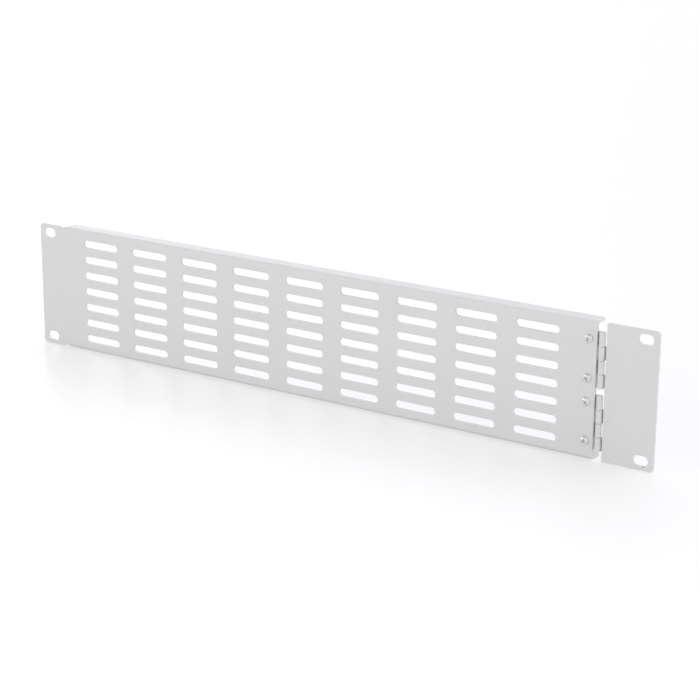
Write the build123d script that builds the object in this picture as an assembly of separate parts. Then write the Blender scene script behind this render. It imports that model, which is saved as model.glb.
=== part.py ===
from build123d import *
import math
import os

# A blanking panel for a 19-inch rack: a ventilated, folded sheet that swings on two small butt
# hinges, and a flat ear plate that stays on the rack's post. All sizes are in millimetres.
#
# X runs along the panel, Y goes back into the rack and Z is up. The origin is the centre of the
# four rack slots, on the back face of the sheet, which is the face that lies on the posts.

# Rack interface
rack_unit_height = 44.45
units_covered = 2
unit_clearance = 0.8            # what the panel leaves free of the units' height
rack_slot_spacing = 465.1       # across the rack, between slot centres
rack_slot_inset = 6.35          # from the edge of the unit to the slot's centre
rack_slot_length = 10.0
rack_slot_height = 6.6
rack_slot_end_margin = 8.75     # from the slot's centre to the end of the panel

# Folded sheet
sheet_thickness = 1.5
inside_bend_radius = 0.8
flange_depth = 11.0             # over the front face, to the flange's back edge
flange_corner_radius = 2.0
ear_corner_radius = 2.5
small_corner_radius = 1.0
relief_distance = 5.45          # from the end of the rack slot to the corner relief
relief_foot = 1.2               # width of the relief's steep side
relief_slope = 2.5              # width of its slanted side, which runs up the bend

# Ventilation slots
vent_columns = 9
vent_rows = 7
vent_length = 30.0
vent_height = 5.2
vent_left_margin = 39.95        # from the panel's left end to the first slot
vent_right_margin = 25.6        # from the last slot to the hinged edge
vent_top_margin = 9.75          # from the panel's top to the middle of the first row
vent_bottom_margin = 9.2        # from its bottom to the middle of the last row

# Ear plate
ear_plate_width = 34.6

# Butt hinges
pin_diameter = 1.8
pin_running_clearance = 0.05    # all round the pin, in the knuckles that turn
pin_stand_out = 0.7             # of its ends, past the knuckles
pin_end_rounding = 0.5
leaf_thickness = 1.0
knuckle_count = 4
knuckle_gap = 0.2
curl_seam = 0.25                # between the end of the curl and its own leaf
sheet_to_knuckle = 1.1          # open gap on both sides of the knuckles, in the leaves too
hinge_end_margin = 6.35         # from the panel's long edge to the hinge
hinge_middle_gap = 4.6          # between the two hinges
leaf_corner_radius = 1.0
weld_mark_diameter = 4.0
weld_mark_depth = 0.1

# Hinge screws, lock washers and nuts
thread_diameter = 3.0
screw_hole_clearance = 0.2      # all round the thread
screw_edge_distance = 5.8       # from the hinged edge to the screws
screw_end_margin = 5.2          # from the end of the leaf to a screw
leaf_edge_margin = 6.5          # from the screws to the leaf's outer edge
head_diameter = 5.6
head_height = 2.0
head_rim = 0.7                  # straight part of the head's side
screw_tip = 0.3                 # thread that stands out of the nut
screw_tip_chamfer = 0.3
recess_width = 2.9              # over the arms of the cross, at the crown
recess_floor = 1.1              # over them at the bottom
recess_arm = 0.75
recess_depth = 1.4
recess_turns = [22, 58, 35, 8]  # how far each cross came round, in degrees
washer_diameter = 6.2
washer_hole_clearance = 0.1
washer_thickness = 0.8
washer_slit = 0.5
washer_slit_lean = 25           # degrees
nut_sides = 6
nut_across_flats = 5.5
nut_height = 2.4
nut_chamfer = 0.25

# How far a cutter runs past what it cuts
overrun = 1.0

# Places that follow from the sizes above
units_height = units_covered * rack_unit_height
panel_height = units_height - unit_clearance
rack_slot_rise = units_height - 2 * rack_slot_inset
panel_width = rack_slot_spacing + 2 * rack_slot_end_margin
half_height = panel_height / 2
panel_left = -panel_width / 2
front_y = -sheet_thickness
flange_back = front_y + flange_depth
bend_radius = inside_bend_radius + sheet_thickness
bend_centre_y = front_y + bend_radius
bend_line = half_height - bend_radius

pin_radius = pin_diameter / 2
bore_radius = pin_radius + pin_running_clearance
knuckle_radius = bore_radius + leaf_thickness
half_hinge_gap = knuckle_radius + sheet_to_knuckle
ear_plate_left = panel_width / 2 - ear_plate_width
pin_x = ear_plate_left - half_hinge_gap
pin_y = -bore_radius
panel_right = pin_x - half_hinge_gap

hinge_length = half_height - hinge_end_margin - hinge_middle_gap / 2
hinge_centre = half_height - hinge_end_margin - hinge_length / 2
knuckle_length = (hinge_length - (knuckle_count - 1) * knuckle_gap) / knuckle_count
screw_hole_radius = thread_diameter / 2 + screw_hole_clearance
screw_offset = half_hinge_gap + screw_edge_distance
leaf_width = screw_offset + leaf_edge_margin
screw_rise = hinge_length / 2 - screw_end_margin
screw_length = sheet_thickness + leaf_thickness + washer_thickness + nut_height + screw_tip

relief_left = panel_left + rack_slot_end_margin + rack_slot_length / 2 + relief_distance
relief_tip = relief_left + relief_foot

# The front view has X across and Z up, and what is drawn in it is raised towards the front.
# Screws, washers and nuts are drawn standing on z = 0 and then turned to face front or back.
front_view = Plane.XZ
facing_front = Rot(90, 0, 0)
facing_back = Rot(-90, 0, 0)
standing = (Align.CENTER, Align.CENTER, Align.MIN)
hanging = (Align.CENTER, Align.CENTER, Align.MAX)


def through_sheet(outline):
    """A cutter of the outline in the front view, that passes through the sheet."""
    return extrude(front_view * outline, amount=sheet_thickness + overrun, both=True)


def rack_slots(side):
    """The two rack slots of the left end (side -1) or the right end (side 1)."""
    slot = SlotOverall(rack_slot_length, rack_slot_height)
    x = side * rack_slot_spacing / 2
    return [Pos(x, up * rack_slot_rise / 2) * slot for up in (-1, 1)]


def vent_slots():
    """The grid of ventilation slots, with fully round ends."""
    first = panel_left + vent_left_margin + vent_length / 2
    last = panel_right - vent_right_margin - vent_length / 2
    column_pitch = (last - first) / (vent_columns - 1)
    top = half_height - vent_top_margin
    bottom = vent_bottom_margin - half_height
    row_pitch = (top - bottom) / (vent_rows - 1)
    slot = SlotOverall(vent_length, vent_height)
    places = GridLocations(column_pitch, row_pitch, vent_columns, vent_rows)
    return [Pos((first + last) / 2, (top + bottom) / 2) * place * slot for place in places]


def screw_places():
    """Where the hinge screws stand in the front view, from the top down."""
    x = pin_x - screw_offset
    return [(x, centre + end * screw_rise) for centre in (hinge_centre, -hinge_centre) for end in (1, -1)]


def screw_holes():
    """The clearance holes for the hinge screws."""
    hole = Circle(screw_hole_radius)
    return [Pos(x, z) * hole for x, z in screw_places()]


def web_outline():
    """The flat part of the panel: the left ear, the reliefs, and the web between the bend lines."""
    top = [
        (panel_left, half_height),
        (relief_left, half_height),
        (relief_tip, bend_line),
        (panel_right, bend_line),
    ]
    bottom = [(x, -z) for x, z in reversed(top)]
    outline = make_face(Polyline(*top, *bottom, close=True))
    outline = fillet(outline.vertices().group_by(Axis.X)[1], small_corner_radius)
    return fillet(outline.vertices().group_by(Axis.X)[0], ear_corner_radius)


def flange_section():
    """The section of the bend and the upper flange, drawn in Y and Z."""
    bend_centre = (bend_centre_y, bend_line)
    under = half_height - sheet_thickness
    flat = [
        (bend_centre_y, under),
        (flange_back, under),
        (flange_back, half_height),
        (bend_centre_y, half_height),
    ]
    edges = [
        CenterArc(bend_centre, bend_radius, 90, 90),
        Line((front_y, bend_line), (0, bend_line)),
        CenterArc(bend_centre, inside_bend_radius, 90, 90),
        Polyline(*flat),
    ]
    return make_face(edges)


def flange_plan():
    """The upper flange seen from above: slanted up the bend at the left, rounded at the back."""
    straight_left = relief_tip + relief_slope
    ahead = front_y - overrun
    corners = [
        (relief_tip, ahead),
        (relief_tip, front_y),
        (straight_left, bend_centre_y),
        (straight_left, flange_back),
        (panel_right, flange_back),
        (panel_right, ahead),
    ]
    outline = make_face(Polyline(*corners, close=True))
    return fillet(outline.vertices().group_by(Axis.Y)[-1], flange_corner_radius)


def flange():
    """The upper flange with its bend, cut to its plan."""
    side_view = Plane(origin=(relief_tip - overrun, 0, 0), x_dir=(0, 1, 0), z_dir=(1, 0, 0))
    bar = extrude(side_view * flange_section(), amount=panel_right - relief_tip + 2 * overrun)
    plan = extrude(Pos(0, 0, bend_line - overrun) * flange_plan(), amount=bend_radius + 2 * overrun)
    return bar & plan


def front_panel():
    """The folded sheet: web with ear, two flanges, rack slots, ventilation slots, screw holes."""
    upper = flange()
    sheet = extrude(front_view * web_outline(), amount=sheet_thickness)
    sheet = sheet + upper + mirror(upper, about=Plane.XY)
    openings = Sketch() + rack_slots(-1) + vent_slots() + screw_holes()
    return sheet - through_sheet(openings)


def ear_plate():
    """The flat plate at the right, that is screwed to the rack's post."""
    outline = Pos(ear_plate_left + ear_plate_width / 2, 0) * Rectangle(ear_plate_width, panel_height)
    outline = fillet(outline.vertices().group_by(Axis.X)[0], small_corner_radius)
    outline = fillet(outline.vertices().group_by(Axis.X)[-1], ear_corner_radius)
    plate = extrude(front_view * outline, amount=sheet_thickness)
    return plate - through_sheet(Sketch() + rack_slots(1))


def knuckle_centre(index):
    """The height of a knuckle's middle over the hinge's middle, counted from the top."""
    return hinge_length / 2 - knuckle_length / 2 - index * (knuckle_length + knuckle_gap)


def curl_section(radius):
    """The curl of a leaf round the pin, seen from above, for a leaf that comes from the left."""
    wrap = Circle(knuckle_radius) - Circle(radius)
    seam_y = bore_radius - curl_seam
    seam_size = knuckle_radius + overrun
    return wrap - Pos(-seam_size / 2, seam_y + seam_size / 2) * Rectangle(seam_size, seam_size)


def leaf_outline(own_knuckles):
    """A leaf in the front view, with windows where the other leaf's knuckles turn."""
    outline = Pos(-leaf_width / 2, 0) * Rectangle(leaf_width, hinge_length)
    outline = fillet(outline.vertices().group_by(Axis.X)[0], leaf_corner_radius)
    window = Rectangle(half_hinge_gap, knuckle_length + 2 * knuckle_gap)
    for index in range(knuckle_count):
        if index not in own_knuckles:
            outline = outline - Pos(-half_hinge_gap / 2, knuckle_centre(index)) * window
    return outline


def leaf(own_knuckles, radius):
    """A hinge leaf with its curls, with the pin's axis as origin and the leaf to the left.

    The leaf's front face lies on the sheet's back, and its back face runs into the curl."""
    plate = extrude(front_view * leaf_outline(own_knuckles), amount=leaf_thickness)
    plate = Pos(0, knuckle_radius, 0) * plate
    curl = extrude(curl_section(radius), amount=knuckle_length / 2, both=True)
    for index in own_knuckles:
        plate = plate + Pos(0, 0, knuckle_centre(index)) * curl
    return plate


def panel_leaf():
    """The leaf that is screwed behind the panel, with knuckles that turn on the pin."""
    own_knuckles = range(0, knuckle_count, 2)
    hole = facing_front * Cylinder(screw_hole_radius, 2 * (leaf_thickness + overrun))
    holes = [Pos(-screw_offset, knuckle_radius, end * screw_rise) * hole for end in (-1, 1)]
    return leaf(own_knuckles, bore_radius) - holes


def ear_leaf():
    """The leaf that is spot welded behind the ear plate, with knuckles that grip the pin."""
    own_knuckles = range(1, knuckle_count, 2)
    mark = facing_front * Cylinder(weld_mark_diameter / 2, 2 * weld_mark_depth)
    marks = [Pos(-screw_offset, knuckle_radius, end * screw_rise) * mark for end in (-1, 1)]
    return mirror(leaf(own_knuckles, pin_radius) - marks, about=Plane.YZ)


def hinge_pin():
    """The pin, whose rounded ends stand a little out of the knuckles."""
    pin = Cylinder(pin_radius, hinge_length + 2 * pin_stand_out)
    return fillet(pin.edges().filter_by(GeomType.CIRCLE), pin_end_rounding)


def head_section():
    """Half of the pan head's section: a short straight side under a domed crown."""
    radius = head_diameter / 2
    crown = head_height - head_rim
    crown_radius = (radius * radius + crown * crown) / (2 * crown)
    middle_x = radius / 2
    middle_z = head_height - crown_radius + math.sqrt(crown_radius**2 - middle_x**2)
    edges = [
        Polyline((0, head_height), (0, 0), (radius, 0), (radius, head_rim)),
        ThreePointArc((radius, head_rim), (middle_x, middle_z), (0, head_height)),
    ]
    return make_face(edges)


def cross_recess():
    """The cross recess: two crossed slots that narrow towards a flat floor."""
    cone_height = recess_depth + overrun
    taper = (recess_width - recess_floor) / recess_depth
    cone_width = recess_floor + cone_height * taper
    cone = Cone(recess_floor / 2, cone_width / 2, cone_height, align=standing)
    arm = Box(cone_width, recess_arm, 2 * cone_height)
    return Pos(0, 0, head_height - recess_depth) * ((arm + Rot(0, 0, 90) * arm) & cone)


def screw(recess_turn):
    """A pan head screw that stands on z = 0, with its thread drawn as a plain shank below."""
    head = revolve(Plane.XZ * head_section(), Axis.Z)
    shank = Cylinder(thread_diameter / 2, screw_length, align=hanging)
    shank = chamfer(shank.edges().filter_by(GeomType.CIRCLE).sort_by(Axis.Z)[0], screw_tip_chamfer)
    return head + shank - Rot(0, 0, recess_turn) * cross_recess()


def lock_washer():
    """A split lock washer that lies on z = 0, pressed flat, with a leaning slit."""
    hole_radius = thread_diameter / 2 + washer_hole_clearance
    ring = Cylinder(washer_diameter / 2, washer_thickness, align=standing)
    ring = ring - Cylinder(hole_radius, washer_thickness, align=standing)
    slit = Box(washer_diameter, washer_slit, 2 * washer_thickness + 2 * overrun)
    lean = Pos(washer_diameter / 2, 0, washer_thickness / 2) * Rot(washer_slit_lean, 0, 0)
    return ring - lean * slit


def nut():
    """A hexagon nut that lies on z = 0, with its corners chamfered and its thread drawn plain."""
    flat_radius = nut_across_flats / 2
    prism = extrude(RegularPolygon(flat_radius, nut_sides, major_radius=False), amount=nut_height)
    corner_radius = flat_radius / math.cos(math.pi / nut_sides)
    blank = Cylinder(corner_radius, nut_height, align=standing)
    blank = chamfer(blank.edges().filter_by(GeomType.CIRCLE), nut_chamfer, 2 * nut_chamfer)
    bore = Cylinder(thread_diameter / 2, nut_height, align=standing)
    return (prism & blank) - bore


def build_hinges():
    """The nodes of both hinges."""
    nodes = {}
    for name, height in (("upper", hinge_centre), ("lower", -hinge_centre)):
        place = Pos(pin_x, pin_y, height)
        nodes[f"{name}_panel_leaf"] = place * panel_leaf()
        nodes[f"{name}_ear_leaf"] = place * ear_leaf()
        nodes[f"{name}_hinge_pin"] = place * hinge_pin()
    return nodes


def build_fasteners():
    """The nodes of the screws, which stand in front, and of the washers and nuts behind."""
    nodes = {}
    for number, (x, z) in enumerate(screw_places()):
        name = ("upper_hinge", "lower_hinge")[number // 2] + ("_top", "_bottom")[number % 2]
        nodes[f"{name}_screw"] = Pos(x, front_y, z) * facing_front * screw(recess_turns[number])
        nodes[f"{name}_lock_washer"] = Pos(x, leaf_thickness, z) * facing_back * lock_washer()
        nodes[f"{name}_nut"] = Pos(x, leaf_thickness + washer_thickness, z) * facing_back * nut()
    return nodes


os.makedirs("parts", exist_ok=True)
nodes = {"front_panel": front_panel(), "ear_plate": ear_plate()}
nodes.update(build_hinges())
nodes.update(build_fasteners())
for name, shape in nodes.items():
    export_step(shape, f"parts/{name}.step")
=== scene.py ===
# %% [markdown]
# # A hinged, ventilated blanking panel for a 19-inch rack
# The real object is a folded sheet of painted steel, two units high, that closes a gap in a server
# rack and still lets air through its slots. Two small butt hinges join it to a flat ear plate, so
# that it swings open like a door. This lesson dresses the measured model of it: the sheet metal
# keeps the shapes that it was designed with, and the small turned and rolled parts, which a
# measured model draws plainly, are built again with their threads, recesses and slits.

import math

import bpy
import numpy as np
from mathutils import Matrix, Vector


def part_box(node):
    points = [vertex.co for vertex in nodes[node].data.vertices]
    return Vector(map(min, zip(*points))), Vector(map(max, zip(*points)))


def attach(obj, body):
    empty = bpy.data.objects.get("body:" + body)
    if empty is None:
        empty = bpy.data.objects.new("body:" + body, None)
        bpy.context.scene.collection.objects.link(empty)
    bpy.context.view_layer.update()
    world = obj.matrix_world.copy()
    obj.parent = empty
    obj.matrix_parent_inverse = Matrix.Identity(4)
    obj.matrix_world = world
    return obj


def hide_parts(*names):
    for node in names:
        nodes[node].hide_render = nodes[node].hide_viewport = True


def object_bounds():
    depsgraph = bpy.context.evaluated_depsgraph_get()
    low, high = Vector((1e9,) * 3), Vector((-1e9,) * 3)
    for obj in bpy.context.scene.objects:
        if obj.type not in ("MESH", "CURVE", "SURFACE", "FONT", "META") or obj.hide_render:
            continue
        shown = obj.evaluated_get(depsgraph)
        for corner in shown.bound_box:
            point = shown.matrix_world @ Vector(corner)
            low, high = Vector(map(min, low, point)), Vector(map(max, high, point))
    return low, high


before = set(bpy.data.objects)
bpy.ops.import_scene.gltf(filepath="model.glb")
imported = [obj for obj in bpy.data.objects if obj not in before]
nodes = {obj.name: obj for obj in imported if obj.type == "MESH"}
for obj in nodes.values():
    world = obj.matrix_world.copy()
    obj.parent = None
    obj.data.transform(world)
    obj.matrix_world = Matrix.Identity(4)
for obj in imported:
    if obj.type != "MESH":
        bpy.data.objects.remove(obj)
cad_box = [list(corner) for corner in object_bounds()]

# %% [markdown]
# ## Units and colours
# The model is in metres, and a workshop drawing of such a part is in millimetres, so the sizes of
# the part are written in millimetres below, and one factor turns them to metres. The studio round
# it stays in metres. Paint and plating are named by the colour a screen shows, in hexadecimal, and
# the shaders need linear light, so one function undoes the screen's curve.

# %% Millimetres, and hexadecimal colours to linear light
MM = 0.001


def linear(hex_colour):
    """The linear colour, with alpha 1, of an sRGB hex value such as D7D7D7."""
    srgb = np.array([int(hex_colour[i:i + 2], 16) for i in (0, 2, 4)]) / 255
    low, high = srgb / 12.92, ((srgb + 0.055) / 1.055) ** 2.4
    return (*(float(c) for c in np.where(srgb <= 0.04045, low, high)), 1.0)


print("mid grey 808080 is", round(linear("808080")[0], 3), "in linear light")

# %% [markdown]
# ## The camera
# The picture is taken from the hinged end, about a third of a right angle round to the right and
# half as much above, with a long lens. The camera's place was found by fitting the four rack slots,
# whose spacing the rack standard fixes, and the grid of ventilation slots to the picture. A camera
# built from its own right, up and back directions can carry the small roll of a hand-held shot.

# %% Place the camera
AZIMUTH, ELEVATION, ROLL = (math.radians(a) for a in (33.17, 17.08, 0.41))
DISTANCE = 1308.2 * MM
AIM = Vector((22.8, -0.75, -5.0)) * MM
FOCAL_LENGTH = 103.18

back = Vector((math.sin(AZIMUTH) * math.cos(ELEVATION),
               -math.cos(AZIMUTH) * math.cos(ELEVATION),
               math.sin(ELEVATION)))
level = Vector((math.cos(AZIMUTH), math.sin(AZIMUTH), 0))
upright = back.cross(level)
right = math.cos(ROLL) * level + math.sin(ROLL) * upright
up = back.cross(right)

lens = bpy.data.cameras.new("long_lens")
lens.lens = FOCAL_LENGTH
lens.clip_start, lens.clip_end = 0.05, 50
camera = bpy.data.objects.new("camera", lens)
axes = Matrix((right, up, back)).transposed().to_4x4()
camera.matrix_world = Matrix.Translation(AIM + DISTANCE * back) @ axes
bpy.context.scene.collection.objects.link(camera)
bpy.context.scene.camera = camera
print("camera at", [round(c, 3) for c in camera.matrix_world.translation])

# %% [markdown]
# ## One way to add a shader node
# Every material here is a small graph of nodes. Writing each link by hand hides the idea behind the
# bookkeeping, so one helper adds a node, sets what is asked, and links whatever it is given that
# is another node's output.

# %% The node helper
def add_node(tree, kind, inputs=(), **settings):
    """Adds a node of a kind. Settings are its own properties. Inputs maps a socket's name or number
    to a value, or to another node's output, which is then linked."""
    node = tree.nodes.new(kind)
    for name, value in settings.items():
        setattr(node, name, value)
    for name, value in dict(inputs).items():
        if isinstance(value, bpy.types.NodeSocket):
            tree.links.new(value, node.inputs[name])
        else:
            node.inputs[name].default_value = value
    return node


def new_material(name):
    """An empty material, its node tree and its output node."""
    material = bpy.data.materials.new(name)
    material.use_nodes = True
    material.node_tree.nodes.clear()
    return material, material.node_tree, add_node(material.node_tree, "ShaderNodeOutputMaterial")


print("helpers:", add_node.__name__, new_material.__name__)

# %% [markdown]
# ## Powder coat
# The sheet metal is finished in light grey polyester powder, sprayed on dry and melted in an oven.
# It flows into a satin skin with a faint orange peel, a ripple of about two millimetres, over a
# much finer grain. To the eye that is a soft, even grey. Both patterns are Noise textures at their
# real spacing, and a third, broad and very weak, varies the tone as the film's thickness does. A
# Noise texture's values gather round a half, so wherever one drives a roughness below, its range
# is taken as three to seven tenths.

# %% Lay out the coat's patterns
PEEL_SPACING = 1.8 * MM
GRAIN_SPACING = 0.35 * MM
FILM_SPACING = 45 * MM
NOISE_LOW, NOISE_HIGH = 0.3, 0.7

powder_coat, tree, output = new_material("powder_coat_light_grey")
place = add_node(tree, "ShaderNodeTexCoord").outputs["Object"]
film = add_node(tree, "ShaderNodeTexNoise",
                {"Vector": place, "Scale": 1 / FILM_SPACING, "Detail": 2.0}).outputs["Fac"]
peel = add_node(tree, "ShaderNodeTexNoise",
                {"Vector": place, "Scale": 1 / PEEL_SPACING, "Detail": 1.0}).outputs["Fac"]
grain = add_node(tree, "ShaderNodeTexNoise",
                 {"Vector": place, "Scale": 1 / GRAIN_SPACING, "Detail": 2.0}).outputs["Fac"]
tone = add_node(tree, "ShaderNodeMix", {0: film, 6: linear("D0D0D0"), 7: linear("D4D4D4")},
                data_type="RGBA").outputs[2]
print("peel every", round(PEEL_SPACING / MM, 2), "mm")
print("grain every", round(GRAIN_SPACING / MM, 2), "mm")

# %% [markdown]
# ## Painted shade beside the hinges
# The cut edge beside the hinges lies in the shade of the knuckles, and a darker grey is painted
# on it there as painted shade, to deepen the shade in that narrow gap. A mask finds it: every
# point close to that edge, and no higher or lower than one of the two hinges, which stand at the
# same height over and under the middle. A Compare node is 1 where two numbers differ by less than
# its third.

# %% Paint the shade beside the hinges
EDGE_REACH = 0.3 * MM
HINGED_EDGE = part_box("front_panel")[1][0]
HINGE_LOW, HINGE_HIGH = (corner[2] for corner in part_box("upper_panel_leaf"))

spot = add_node(tree, "ShaderNodeSeparateXYZ", {0: place})
at_edge = add_node(tree, "ShaderNodeMath",
                   {0: spot.outputs["X"], 1: HINGED_EDGE, 2: EDGE_REACH}, operation="COMPARE")
height = add_node(tree, "ShaderNodeMath", {0: spot.outputs["Z"]}, operation="ABSOLUTE")
beside = add_node(tree, "ShaderNodeMath",
                  {0: height.outputs[0], 1: (HINGE_LOW + HINGE_HIGH) / 2,
                   2: (HINGE_HIGH - HINGE_LOW) / 2}, operation="COMPARE")
# Painted shade: the cut edge within a hinge's height, where the knuckles shade it.
painted_gap_shade = add_node(tree, "ShaderNodeMath", {0: at_edge.outputs[0], 1: beside.outputs[0]},
                operation="MULTIPLY")
# B0B0B0 is the grey of the painted shade, mixed over the coat's own tone.
coat_with_painted_shade = add_node(tree, "ShaderNodeMix",
                {0: painted_gap_shade.outputs[0], 6: tone, 7: linear("B0B0B0")}, data_type="RGBA").outputs[2]
# The print below gives where the painted shade lies.
print("thin coat at x", round(HINGED_EDGE / MM, 1), "mm, from", round(HINGE_LOW / MM, 1), "to",
      round(HINGE_HIGH / MM, 1), "mm over and under the middle")

# %% [markdown]
# ## A chip in the coat
# Under the lower right rack slot, a rack screw has knocked a tiny chip out of the coat, down to the
# grey primer. It is every point within a small, turned ellipsoid, which a Mapping node makes a unit
# ball. The coat's own grain is added to the distance from the ball's middle, so the chip ends
# raggedly, where the sum passes from its inside value to its outside one.

# %% Chip the coat
CHIP_PLACE = (234.7 * MM, -1.5 * MM, -41.6 * MM)
CHIP_SIZE = (0.9 * MM, 0.9 * MM, 0.5 * MM)
CHIP_TURN = math.radians(-20)
CHIP_INSIDE, CHIP_OUTSIDE = 1.3, 1.6

chip = add_node(tree, "ShaderNodeMapping",
                {"Vector": place, "Location": CHIP_PLACE, "Rotation": (0.0, CHIP_TURN, 0.0),
                 "Scale": CHIP_SIZE}, vector_type="TEXTURE")
from_chip = add_node(tree, "ShaderNodeVectorMath", {0: chip.outputs[0]}, operation="LENGTH")
ragged = add_node(tree, "ShaderNodeMath", {0: grain, 1: from_chip.outputs["Value"]},
                  operation="ADD")
bare = add_node(tree, "ShaderNodeMapRange",
                {"Value": ragged.outputs[0], "From Min": CHIP_INSIDE, "From Max": CHIP_OUTSIDE,
                 "To Min": 1.0, "To Max": 0.0})
colour = add_node(tree, "ShaderNodeMix",
                  {0: bare.outputs["Result"], 6: coat_with_painted_shade, 7: linear("989898")},
                  data_type="RGBA").outputs[2]
print("chip at", [round(c / MM, 1) for c in CHIP_PLACE], "mm")

# %% [markdown]
# ## The skin of the coat
# A melted coat pulls back from sharp edges into small round ones, which catch a thin bright line of
# light. The sheet's edges are sharp in the measured model, so the Bevel node rounds how they are
# lit. Two Bump nodes then add the ripple and the grain, and the grain also varies the roughness,
# so that the highlights are blurred but not even.

# %% Give the coat its skin, and coat the sheet metal
EDGE_RADIUS = 0.2 * MM
PEEL_DEPTH, GRAIN_DEPTH = 0.02 * MM, 0.006 * MM
PAINTED = ["front_panel", "ear_plate", "upper_panel_leaf", "upper_ear_leaf",
           "lower_panel_leaf", "lower_ear_leaf"]

gloss = add_node(tree, "ShaderNodeMapRange",
                 {"Value": grain, "From Min": NOISE_LOW, "From Max": NOISE_HIGH,
                  "To Min": 0.24, "To Max": 0.30})
edges = add_node(tree, "ShaderNodeBevel", {"Radius": EDGE_RADIUS}, samples=6)
ripple = add_node(tree, "ShaderNodeBump",
                  {"Strength": 0.35, "Distance": PEEL_DEPTH, "Height": peel,
                   "Normal": edges.outputs["Normal"]})
texture = add_node(tree, "ShaderNodeBump",
                   {"Strength": 0.25, "Distance": GRAIN_DEPTH, "Height": grain,
                    "Normal": ripple.outputs["Normal"]})
paint = add_node(tree, "ShaderNodeBsdfPrincipled",
                 {"Base Color": colour, "Roughness": gloss.outputs["Result"], "IOR": 1.5,
                  "Normal": texture.outputs["Normal"]})
tree.links.new(paint.outputs["BSDF"], output.inputs["Surface"])
for name in PAINTED:
    nodes[name].material_slots[0].material = powder_coat
print("powder coat on", len(PAINTED), "nodes")

# %% [markdown]
# ## Bright zinc
# The hinge screws, their washers and nuts are cold-formed steel with a thin plating of bright zinc.
# It is a cool, pale metal, and small parts that tumble in a barrel while they are plated come out
# with a soft, slightly uneven lustre. A metal's colour is its reflection, so the tint is set as the
# base colour of a fully metallic surface, and a small cloudy noise varies tint and roughness.

# %% Mix the zinc plate
ZINC_CLOUD = 0.9 * MM

zinc, tree, output = new_material("bright_zinc_plate")
place = add_node(tree, "ShaderNodeTexCoord").outputs["Object"]
cloud = add_node(tree, "ShaderNodeTexNoise",
                 {"Vector": place, "Scale": 1 / ZINC_CLOUD, "Detail": 3.0}).outputs["Fac"]
tint = add_node(tree, "ShaderNodeMix", {0: cloud, 6: linear("D4D6D8"), 7: linear("E2E3E4")},
                data_type="RGBA")
lustre = add_node(tree, "ShaderNodeMapRange",
                  {"Value": cloud, "From Min": NOISE_LOW, "From Max": NOISE_HIGH,
                   "To Min": 0.44, "To Max": 0.54})
plate = add_node(tree, "ShaderNodeBsdfPrincipled",
                 {"Base Color": tint.outputs[2], "Metallic": 1.0,
                  "Roughness": lustre.outputs["Result"]})
tree.links.new(plate.outputs["BSDF"], output.inputs["Surface"])
print("zinc cloud every", ZINC_CLOUD / MM, "mm")

# %% [markdown]
# ## Drawn steel wire
# Each hinge turns on a pin cut from cold-drawn steel wire. Drawing through a die leaves fine lines
# along the wire and a dull grey lustre. The pin was in its hinge when the hinge was sprayed, so its
# two rounded ends carry the same light grey coat as the knuckles, and only its hidden length is
# bare. The mask that tells the two apart is the height along the pin, read from the object
# coordinates. The lines are a Noise texture whose coordinate along the wire is shrunk to a
# fiftieth, which draws every spot out to a line.

# %% Draw the wire
PIN_NAMES = ["upper_hinge_pin", "lower_hinge_pin"]
PAINTED_END = 0.8 * MM
COAT_EDGE = 0.05 * MM
DRAW_LINE = 0.12 * MM
DRAW_SQUEEZE = (1.0, 1.0, 0.02)


def drawn_steel(name, low, high):
    """Bare drawn steel between two heights, with the coat over both ends beyond them."""
    material, tree, output = new_material(name)
    place = add_node(tree, "ShaderNodeTexCoord").outputs["Object"]
    height = add_node(tree, "ShaderNodeSeparateXYZ", {0: place}).outputs["Z"]
    squeezed = add_node(tree, "ShaderNodeMapping", {"Vector": place, "Scale": DRAW_SQUEEZE})
    lines = add_node(tree, "ShaderNodeTexNoise",
                     {"Vector": squeezed.outputs[0], "Scale": 1 / DRAW_LINE, "Detail": 2.0})
    steel = add_node(tree, "ShaderNodeMix",
                     {0: lines.outputs["Fac"], 6: linear("A6A7A8"), 7: linear("BCBDBE")},
                     data_type="RGBA")
    from_middle = add_node(tree, "ShaderNodeMath", {0: height, 1: (low + high) / 2},
                           operation="SUBTRACT")
    reach = add_node(tree, "ShaderNodeMath", {0: from_middle.outputs[0]}, operation="ABSOLUTE")
    coated = add_node(tree, "ShaderNodeMapRange",
                      {"Value": reach.outputs[0], "From Min": (high - low) / 2 - COAT_EDGE,
                       "From Max": (high - low) / 2 + COAT_EDGE})
    colour = add_node(tree, "ShaderNodeMix",
                      {0: coated.outputs["Result"], 6: steel.outputs[2], 7: linear("D2D2D2")},
                      data_type="RGBA")
    metal = add_node(tree, "ShaderNodeMath", {0: 1.0, 1: coated.outputs["Result"]},
                     operation="SUBTRACT")
    surface = add_node(tree, "ShaderNodeBsdfPrincipled",
                       {"Base Color": colour.outputs[2], "Metallic": metal.outputs[0],
                        "Roughness": 0.34})
    tree.links.new(surface.outputs["BSDF"], output.inputs["Surface"])
    return material


for name in PIN_NAMES:
    (_, _, pin_low), (_, _, pin_high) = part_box(name)
    wire = drawn_steel(f"drawn_steel_{name}", pin_low + PAINTED_END, pin_high - PAINTED_END)
    nodes[name].material_slots[0].material = wire
    print(name, "bare for", round((pin_high - pin_low - 2 * PAINTED_END) / MM, 1), "mm")

# %% [markdown]
# ## A closed skin from a grid of points
# The screws, nuts and washers below are all made the same way: a function of two parameters gives
# a grid of points, and the grid becomes one closed mesh. Round the piece the columns always join up
# again. Along it, the rows either end in a point at each end, like the two poles of a globe, or
# join up too, like a ring. Building the faces from index arrays keeps the mesh free of seams.

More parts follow.
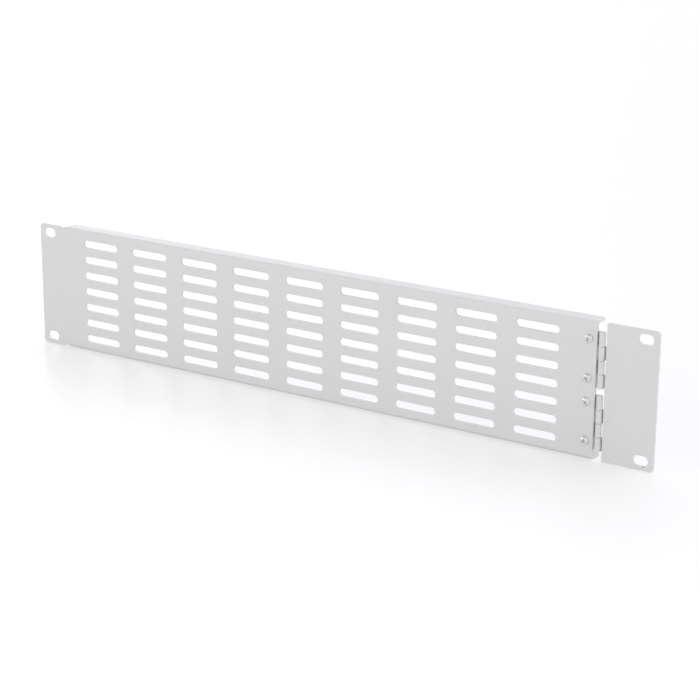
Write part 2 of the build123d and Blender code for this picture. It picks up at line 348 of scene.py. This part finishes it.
# %% The skin helper
def skin(name, points, poles=None):
    """One closed mesh from points of shape (rows, columns, 3), in metres, whose columns join up.
    With poles, a pair of points, the first and last rows close onto them as fans of triangles.
    Without, the last row joins the first. Faces point outwards where rows and columns turn
    right-handed."""
    row_count, column_count = points.shape[:2]
    vertices = points.reshape(-1, 3)
    j = np.arange(column_count)
    following = (j + 1) % column_count
    band = np.arange(row_count if poles is None else row_count - 1)[:, None]
    i, under = band * column_count, (band + 1) % row_count * column_count
    faces = np.stack([i + j, under + j, under + following, i + following], axis=2)
    faces = faces.reshape(-1, 4).tolist()
    if poles is not None:
        first_pole, last_pole = len(vertices), len(vertices) + 1
        start = len(vertices) - column_count
        vertices = np.vstack([vertices, poles])
        faces += np.stack([np.full_like(j, first_pole), j, following], axis=1).tolist()
        faces += np.stack([np.full_like(j, last_pole), start + following, start + j],
                          axis=1).tolist()
    mesh = bpy.data.meshes.new(name)
    mesh.from_pydata(vertices.tolist(), [], faces)
    mesh.update()
    piece = bpy.data.objects.new(name, mesh)
    bpy.context.scene.collection.objects.link(piece)
    return piece


print("helper:", skin.__name__)

# %% [markdown]
# ## Which way is out
# A mesh whose faces point inwards looks right until light or a printer meets it. The volume that a
# closed mesh encloses tells the two apart, because it comes out negative for a piece that is inside
# out, so every new piece below prints its own.

# %% The volume helper
def enclosed_volume(piece):
    """The volume inside a closed mesh in cubic millimetres: the sum over its triangles of a sixth
    of the triple product of their corners. It is positive where the faces point outwards."""
    mesh = piece.data
    mesh.calc_loop_triangles()
    corners = np.empty(len(mesh.vertices) * 3)
    mesh.vertices.foreach_get("co", corners)
    triangles = np.empty(len(mesh.loop_triangles) * 3, dtype=np.int32)
    mesh.loop_triangles.foreach_get("vertices", triangles)
    a, b, c = np.moveaxis(corners.reshape(-1, 3)[triangles.reshape(-1, 3)], 1, 0)
    return float(np.einsum("ij,ij->", a, np.cross(b, c)) / 6 / MM ** 3)


def report(piece):
    """Prints what a new piece came to."""
    print(piece.name, len(piece.data.polygons), "faces,", round(enclosed_volume(piece), 1), "mm3")


print("helpers:", enclosed_volume.__name__, report.__name__)

# %% [markdown]
# ## The head of a hinge screw
# Each screw is an M3 pan head machine screw with a cross recess. The head is cold-formed: a low
# dome over a short straight rim, with four wings pressed into it that are steep at the sides and
# shallow towards their tips. The columns round the head crowd together at the wings' walls, so the
# walls are sharp without a fine mesh elsewhere, and the rings crowd together at the recess's end
# and at the rim for the same reason. All sizes are in millimetres.

# %% Shape the head
HEAD_RADIUS, HEAD_HEIGHT, HEAD_RIM = 2.8, 2.0, 0.7
HEAD_RINGS = np.array([0.15, 0.3, 0.424, 0.53, 0.65, 0.8, 0.95, 1.1, 1.25, 1.38, 1.45, 1.55, 1.8,
                       2.1, 2.4, 2.6, 2.72, 2.79])
WING_HALF_FLOOR, WING_HALF_TOP = 0.30, 0.375
FLOOR_LIMIT, TOP_LIMIT = math.radians(40), math.radians(43)
WING_COLUMNS, DOME_COLUMNS = 5, 9
RECESS_DEPTH, RECESS_DIP, RECESS_FLOOR_RADIUS, RECESS_RADIUS = 1.4, 0.15, 0.55, 1.45


def dome(r):
    """Height of the head at radius r: an arc of a circle that has its top in the middle of the head
    and passes through the rim."""
    crown = HEAD_HEIGHT - HEAD_RIM
    arc = (HEAD_RADIUS ** 2 + crown ** 2) / (2 * crown)
    return HEAD_HEIGHT - arc + np.sqrt(arc ** 2 - r ** 2)


def wing_floor(r):
    """Height of the recess floor at radius r: a shallow cone out to its floor radius, and then a
    straight slope up to the dome, which it meets at the recess radius."""
    bottom = HEAD_HEIGHT - RECESS_DEPTH
    flat = bottom - RECESS_DIP * (1 - r / RECESS_FLOOR_RADIUS)
    share = (r - RECESS_FLOOR_RADIUS) / (RECESS_RADIUS - RECESS_FLOOR_RADIUS)
    slope = bottom + share * (dome(RECESS_RADIUS) - bottom)
    return np.where(r < RECESS_FLOOR_RADIUS, flat, np.minimum(slope, dome(r)))


def half_angle(half_width, r, most):
    """Half the angle that a wing fills at radius r: the arc sine of its half width over r, with a
    limit that holds near the middle, where the wings run together."""
    return np.minimum(np.arcsin(np.minimum(half_width / r, 1.0)), most)[:, None]


def column_angles(r):
    """Angles of the columns at each radius, and which of them lie on the floor of a wing. In each
    quarter turn some columns cross the wing, and the rest divide the dome from the top of its wall
    to that of the next wing."""
    wing = half_angle(WING_HALF_FLOOR, r, FLOOR_LIMIT) * np.linspace(-1, 1, WING_COLUMNS)
    top = half_angle(WING_HALF_TOP, r, TOP_LIMIT)
    over = top + (np.pi / 2 - 2 * top) * np.linspace(0, 1, DOME_COLUMNS)
    quarter = np.hstack([wing, over])
    on_floor = np.tile(np.arange(WING_COLUMNS + DOME_COLUMNS) < WING_COLUMNS, 4)
    return np.hstack([quarter + k * np.pi / 2 for k in range(4)]), on_floor


print("the dome stands", round(float(dome(RECESS_RADIUS)), 2), "mm high at the end of the recess")

# %% [markdown]
# ## A rolled thread
# Rolling presses a ridge into the shank that climbs half a millimetre a turn. In the grid that is
# only a radius: how far a point is along its ridge follows from its height over the pitch minus its
# share of the way round, and the radius follows from that. The nuts use the same function, so the
# two threads mesh.

# %% Roll the thread
PITCH, THREAD_RADIUS, ROOT_RADIUS = 0.5, 1.47, 1.18
THREAD_STEP = PITCH / 8
CREST_SHARE, ROOT_SHARE = 0.125, 0.25


def thread(z, angle, crest, root):
    """Radius of a right-handed thread at height z and angle: a ridge that climbs one pitch a turn,
    with a flat crest an eighth of the pitch wide and a flat root a quarter of it wide."""
    phase = np.abs((z / PITCH - angle / (2 * np.pi)) % 1.0 - 0.5) * 2
    share = np.clip((phase - ROOT_SHARE) / (1 - ROOT_SHARE - CREST_SHARE), 0, 1)
    return root + (crest - root) * share


print("thread", 2 * THREAD_RADIUS, "mm over its crests,", 2 * ROOT_RADIUS, "mm at its root")

# %% [markdown]
# ## The whole screw
# One surface is the whole screw. Going down the rows, it runs from the bottom of the recess up its
# walls, over the dome, down the rim, in under the head, down the thread as it grows out of the
# neck, and over the chamfered tip. The length is the measured model's. The rim and the underside
# of the head are a short list of radii and heights.

# %% Join head and thread
FRONT_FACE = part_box("ear_plate")[0][1] / MM
SCREW_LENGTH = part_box("upper_hinge_top_screw")[1][1] / MM - FRONT_FACE
HUB_RADIUS = 0.45
UNDER_HEAD = np.array([(HEAD_RADIUS, HEAD_RIM), (HEAD_RADIUS, 0.08), (2.74, 0.0), (1.62, 0.0),
                       (1.5, -0.05)])
NECK, THREAD_RUN_IN = 0.2, 0.3
TIP_RADIUS, TIP_CHAMFER = 0.9, 0.3


def rows(values, columns):
    """A grid with one row for each value, which is the same all along its row."""
    return np.repeat(np.reshape(values, (-1, 1)), columns, axis=1)


def screw_surface(turn):
    """Points of the whole screw in millimetres, standing on z = 0, with its recess turned. Within
    the hub radius the four wings are one. Below the head the columns keep their last angles."""
    angles, on_floor = column_angles(HEAD_RINGS)
    columns = len(on_floor)
    deep = on_floor | rows(HEAD_RINGS < HUB_RADIUS, columns)
    head_z = np.where(deep, rows(wing_floor(HEAD_RINGS), columns), rows(dome(HEAD_RINGS), columns))
    shank_z = rows(-NECK - np.arange(0, SCREW_LENGTH - NECK, THREAD_STEP), columns)
    grown = np.clip((-NECK - shank_z) / THREAD_RUN_IN, 0, 1)
    crest = ROOT_RADIUS + (THREAD_RADIUS - ROOT_RADIUS) * grown
    chamfer = THREAD_RADIUS - TIP_CHAMFER + (shank_z + SCREW_LENGTH)
    shank_r = np.minimum(thread(shank_z, angles[-1], crest, ROOT_RADIUS),
                         np.maximum(chamfer, TIP_RADIUS))
    r = np.vstack([rows(HEAD_RINGS, columns), rows(UNDER_HEAD[:, 0], columns), shank_r,
                   rows([TIP_RADIUS, TIP_RADIUS / 2], columns)])
    height = np.vstack([head_z, rows(UNDER_HEAD[:, 1], columns), shank_z,
                        rows([-SCREW_LENGTH, -SCREW_LENGTH], columns)])
    below = np.repeat(angles[-1:], len(r) - len(angles), axis=0)
    angle = np.vstack([angles, below]) + turn
    poles = np.array([[0, 0, HEAD_HEIGHT - RECESS_DEPTH - RECESS_DIP], [0, 0, -SCREW_LENGTH]])
    return np.stack([r * np.cos(angle), r * np.sin(angle), height], axis=2), poles


print("screws", round(SCREW_LENGTH, 2), "mm long under the head")

# %% [markdown]
# ## From the bench to the panel
# Each fastener is shaped standing on a bench, with its head up. On the panel the same axis points
# to the front. The measured model says where each screw is, so the piece is turned and moved as
# an array of points, and its object stays at the origin as the measured pieces do. Each new piece
# rides on the swinging body and stands in for the plain one. No two recesses stopped at the same
# turn when the screws were tightened.

# %% Seat the screws
SCREWS = ["upper_hinge_top", "upper_hinge_bottom", "lower_hinge_top", "lower_hinge_bottom"]
RECESS_TURNS = [math.radians(a) for a in (22, 58, 35, 8)]
SMOOTH_UNDER = math.radians(35)

seats = {}
for name in SCREWS:
    low, high = (np.array(corner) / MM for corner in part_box(f"{name}_screw"))
    seats[name] = ((low[0] + high[0]) / 2, (low[2] + high[2]) / 2)


def on_panel(points, seat):
    """Bench points in millimetres, turned so that their z faces the front and moved to a screw's
    seat, in metres."""
    x, y, z = np.moveaxis(points, -1, 0)
    return np.stack([seat[0] + x, FRONT_FACE - z, seat[1] + y], axis=-1) * MM


def fit(piece, node):
    """Plates a new piece, shades it smooth but for its sharp edges, lets it ride on the swinging
    panel and stand in for a node, and prints what it came to."""
    piece.data.materials.append(zinc)
    piece.data.shade_smooth()
    piece.data.set_sharp_from_angle(angle=SMOOTH_UNDER)
    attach(piece, "swing_panel")
    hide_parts(node)
    report(piece)


for name, turn in zip(SCREWS, RECESS_TURNS):
    points, poles = screw_surface(turn)
    screw = skin(f"{name}_threaded_screw", on_panel(points, seats[name]),
                 on_panel(poles, seats[name]))
    fit(screw, f"{name}_screw")

# %% [markdown]
# ## Hexagon nuts
# The M3 nuts are cold-formed too. A hexagon's corners are turned off by a 30 degree cone at both
# faces, which leaves the familiar curved line on each flat, and the hole is tapped. The skin goes
# once round the section: up the outside, over the chamfer, across the face, down the thread. Its
# radius round the outside is that of a hexagon, the flat's distance divided by the cosine of the
# angle from the middle of the flat. The tapped thread is the screw's own, in the same place and a
# little wider, and a 45 degree countersink opens both of its ends.

# %% Shape and seat the nuts
NUT_START, NUT_END = (FRONT_FACE - corner[1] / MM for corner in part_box("upper_hinge_top_nut"))
NUT_COLUMNS = 72
ACROSS_FLATS = 5.5
FACE_SHARE = 0.95
FACE_RADIUS = FACE_SHARE * ACROSS_FLATS / 2
CORNER_CONE = math.radians(30)
MOUTH_RADIUS, MOUTH_STEP = 1.62, 0.02
THREAD_PLAY = 0.03


def nut_surface():
    """Points of the nut in millimetres, in its place below the head of a screw on the bench. The
    bore is the wider of the thread and the countersink, which narrows as fast as it deepens."""
    angle = 2 * np.pi * np.arange(NUT_COLUMNS) / NUT_COLUMNS
    side = ACROSS_FLATS / 2 / np.cos((angle % (np.pi / 3)) - np.pi / 6)
    drop = (side - FACE_RADIUS) * math.tan(CORNER_CONE)
    z = rows(np.arange(NUT_START - MOUTH_STEP, NUT_END, -THREAD_STEP), NUT_COLUMNS)
    tapped = thread(z, angle, THREAD_RADIUS + THREAD_PLAY, ROOT_RADIUS + THREAD_PLAY)
    countersink = MOUTH_RADIUS - np.minimum(NUT_START - z, z - NUT_END)
    face, mouth = rows(FACE_RADIUS, NUT_COLUMNS), rows(MOUTH_RADIUS, NUT_COLUMNS)
    start, end = rows(NUT_START, NUT_COLUMNS), rows(NUT_END, NUT_COLUMNS)
    r = np.vstack([face, side, side, face, mouth, np.maximum(tapped, countersink), mouth])
    height = np.vstack([end, end + drop, start - drop, start, start, z, end])
    return np.stack([r * np.cos(angle), r * np.sin(angle), height], axis=2)


for name in SCREWS:
    nut = skin(f"{name}_tapped_nut", on_panel(nut_surface()[::-1], seats[name]))
    fit(nut, f"{name}_nut")

# %% [markdown]
# ## Split lock washers
# A lock washer is a short piece of flattened spring wire bent into a ring, and its cut ends bite
# into the nut when it is pressed flat. Its section, a rectangle with rounded corners, is carried
# round the ring, and each height of the section starts and stops a little further round, which
# makes the slit lean. Both cut ends close in the middle of the section.

# %% Shape and seat the lock washers
WASHER_START, WASHER_END = (FRONT_FACE - corner[1] / MM
                            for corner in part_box("upper_hinge_top_lock_washer"))
WASHER_INNER, WASHER_OUTER = 1.6, 3.1
WASHER_CORNER, CORNER_POINTS = 0.12, 5
WASHER_SECTIONS = 61
SLIT_HALF, SLIT_LEAN = 0.25, math.radians(25)


def rounded_section(width, height, corner):
    """Points round a rectangle whose corners are quarter circles, each about a point that lies one
    corner radius in from both sides."""
    quarter = np.linspace(0, np.pi / 2, CORNER_POINTS)
    turn = np.concatenate([quarter + k * np.pi / 2 for k in range(4)])
    across = np.repeat([1, -1, -1, 1], CORNER_POINTS) * (width / 2 - corner)
    rise = np.repeat([1, 1, -1, -1], CORNER_POINTS) * (height / 2 - corner)
    return across + corner * np.cos(turn), rise + corner * np.sin(turn)


def washer_surface():
    """Points of the washer in millimetres, in its place below the head of a screw on the bench.
    Each row is the section at one share of the way round, sheared so that the slit leans."""
    across, rise = rounded_section(WASHER_OUTER - WASHER_INNER, WASHER_START - WASHER_END,
                                   WASHER_CORNER)
    r = (WASHER_INNER + WASHER_OUTER) / 2 + across
    z = (WASHER_START + WASHER_END) / 2 + rise
    half_slit = SLIT_HALF / r
    lean = rise * math.tan(SLIT_LEAN) / r
    share = np.linspace(0, 1, WASHER_SECTIONS)[:, None]
    angle = lean + half_slit + share * (2 * np.pi - 2 * half_slit)
    ring = np.stack([r * np.cos(angle), r * np.sin(angle), np.broadcast_to(z, angle.shape)], axis=2)
    middles = ring[[0, -1]].mean(axis=1)
    halfway = (ring[[0, -1]] + middles[:, None]) / 2
    return np.concatenate([halfway[:1], ring, halfway[1:]]), middles


for name in SCREWS:
    points, poles = washer_surface()
    washer = skin(f"{name}_spring_washer", on_panel(points, seats[name]),
                  on_panel(poles, seats[name]))
    fit(washer, f"{name}_lock_washer")

# %% [markdown]
# ## The table
# The panel stands on its long edge on a table of opal acrylic that is lit from below, so the
# background is white and only a soft shade shows under the panel. A big disc, whose rings widen
# outwards, covers the floor from every side.

# %% Build the table
FLOOR_RADIUS = 9.0
RINGS, SPOKES = 8, 48
lowest = cad_box[0][2]


def disc(radius, height, rings, spokes):
    """Points of a flat disc at one height: a middle point, and rings round it whose radius grows
    with the square of their number."""
    r = radius * (np.arange(1, rings + 1) / rings) ** 2
    turn = 2 * np.pi * np.arange(spokes) / spokes
    x, y = r[:, None] * np.cos(turn), r[:, None] * np.sin(turn)
    ring_points = np.stack([x, y, np.full_like(x, height)], axis=2).reshape(-1, 3)
    return np.vstack([[0, 0, height], ring_points])


def disc_faces(rings, spokes):
    """Triangles round the middle point, and four-sided faces between the rings."""
    k = np.arange(spokes)
    following = (k + 1) % spokes
    middle = np.stack([np.zeros_like(k), 1 + k, 1 + following], axis=1).tolist()
    start = 1 + spokes * np.arange(rings - 1)[:, None]
    quads = np.stack([start + k, start + spokes + k, start + spokes + following,
                      start + following], axis=2).reshape(-1, 4).tolist()
    return middle + quads


table_mesh = bpy.data.meshes.new("table")
table_mesh.from_pydata(disc(FLOOR_RADIUS, lowest, RINGS, SPOKES).tolist(), [],
                       disc_faces(RINGS, SPOKES))
table = bpy.data.objects.new("table", table_mesh)
bpy.context.scene.collection.objects.link(table)

acrylic, tree, output = new_material("opal_acrylic_lit_from_below")
sheet = add_node(tree, "ShaderNodeBsdfPrincipled",
                 {"Base Color": linear("D8D8D8"), "Roughness": 0.3, "IOR": 1.49,
                  "Emission Color": linear("FFFFFF"), "Emission Strength": 0.23})
tree.links.new(sheet.outputs["BSDF"], output.inputs["Surface"])
table.data.materials.append(acrylic)
print("table at", round(lowest / MM, 2), "mm")

# %% [markdown]
# ## The sky of the studio
# A product studio wraps a part like this in white cloth and hangs softboxes outside the picture.
# Their reflections show that the sheet is painted metal: the top flange mirrors the pale cloth at
# a glancing angle, the bend mirrors the darker ceiling as a thin dark line, and the cut edges that
# face right look straight at the right-hand softbox. Area lamps could do all of it, but softboxes
# that are painted on the sky light every side of the part evenly. Each one is the product of a band
# of heights, which rises and falls smoothly, and a share of the compass, the squared cosine of the
# angle from the direction that it hangs in. A height here is the sine of the elevation, from 0 at
# the horizon to 1 overhead. Towards the back the whole sky is a trace cooler in hue, and so is the
# top flange that mirrors it.

# %% Paint the sky
CLOTH, CEILING = 1.0, 0.3
CLOTH_END, CEILING_START = 0.15, 0.30
SOFTBOXES = {
    "right": {"towards": (1, 0, 0), "from": 0.37, "to": 0.82, "radiance": 2.8},
    "back": {"towards": (0, 1, 0), "from": 0.52, "to": 0.82, "radiance": 2.0},
    "left": {"towards": (-1, 0, 0), "from": 0.22, "to": 0.52, "radiance": 2.85},
}
SOFT_EDGE = 0.075

world = bpy.data.worlds.new("studio")
world.use_nodes = True
tree = world.node_tree
tree.nodes.clear()
direction = add_node(tree, "ShaderNodeTexCoord").outputs["Generated"]
rise = add_node(tree, "ShaderNodeSeparateXYZ", {0: direction}).outputs["Z"]
flat = add_node(tree, "ShaderNodeVectorMath", {0: direction, 1: (1, 1, 0)}, operation="MULTIPLY")
compass = add_node(tree, "ShaderNodeVectorMath", {0: flat.outputs[0]}, operation="NORMALIZE")
radiance = add_node(tree, "ShaderNodeMapRange",
                    {"Value": rise, "From Min": CLOTH_END, "From Max": CEILING_START,
                     "To Min": CLOTH, "To Max": CEILING},
                    interpolation_type="SMOOTHSTEP").outputs["Result"]
shares = {}
for name, box in SOFTBOXES.items():
    lower, upper = (
        add_node(tree, "ShaderNodeMapRange",
                 {"Value": rise, "From Min": box[end] - SOFT_EDGE, "From Max": box[end] + SOFT_EDGE,
                  "To Max": box["radiance"]}, interpolation_type="SMOOTHSTEP").outputs["Result"]
        for end in ("from", "to"))
    band = add_node(tree, "ShaderNodeMath", {0: lower, 1: upper}, operation="SUBTRACT")
    facing = add_node(tree, "ShaderNodeVectorMath", {0: compass.outputs[0], 1: box["towards"]},
                      operation="DOT_PRODUCT")
    ahead = add_node(tree, "ShaderNodeMath", {0: facing.outputs["Value"], 1: 0.0},
                     operation="MAXIMUM")
    shares[name] = add_node(tree, "ShaderNodeMath", {0: ahead.outputs[0], 1: 2.0},
                            operation="POWER").outputs[0]
    radiance = add_node(tree, "ShaderNodeMath", {0: band.outputs[0], 1: shares[name], 2: radiance},
                        operation="MULTIPLY_ADD").outputs[0]
hue = add_node(tree, "ShaderNodeMix",
               {0: shares["back"], 6: linear("FFFFFF"), 7: linear("F4F3FF")}, data_type="RGBA")
backdrop = add_node(tree, "ShaderNodeBackground",
                    {"Color": hue.outputs[2], "Strength": radiance})
add_node(tree, "ShaderNodeOutputWorld", {"Surface": backdrop.outputs[0]})
bpy.context.scene.world = world
print("softboxes on the sky:", ", ".join(SOFTBOXES))

# %% [markdown]
# ## The front softbox
# One real lamp stands in front of the panel, half as high as it is far, and looks at its middle. It
# draws the bright line that runs along the bend, stronger towards the hinges, and it lets the front
# fall off gently to its ends, which a sky at no distance can't do. A lamp's power is its radiance
# times pi times its area.

# %% Hang the front softbox
BOX_PLACE = Vector((-0.11, -1.19, 0.62))
BOX_WIDTH, BOX_HEIGHT, BOX_RADIANCE = 1.2, 0.45, 1.85

lamp = bpy.data.lights.new("front_softbox", "AREA")
lamp.shape, lamp.size, lamp.size_y = "RECTANGLE", BOX_WIDTH, BOX_HEIGHT
lamp.energy = BOX_RADIANCE * math.pi * BOX_WIDTH * BOX_HEIGHT
softbox = bpy.data.objects.new("front_softbox", lamp)
softbox.location = BOX_PLACE
softbox.rotation_euler = (-BOX_PLACE).to_track_quat("-Z", "Y").to_euler()
bpy.context.scene.collection.objects.link(softbox)
bpy.context.scene.view_settings.view_transform = "Standard"
print("front softbox of", round(lamp.energy, 1), "W")
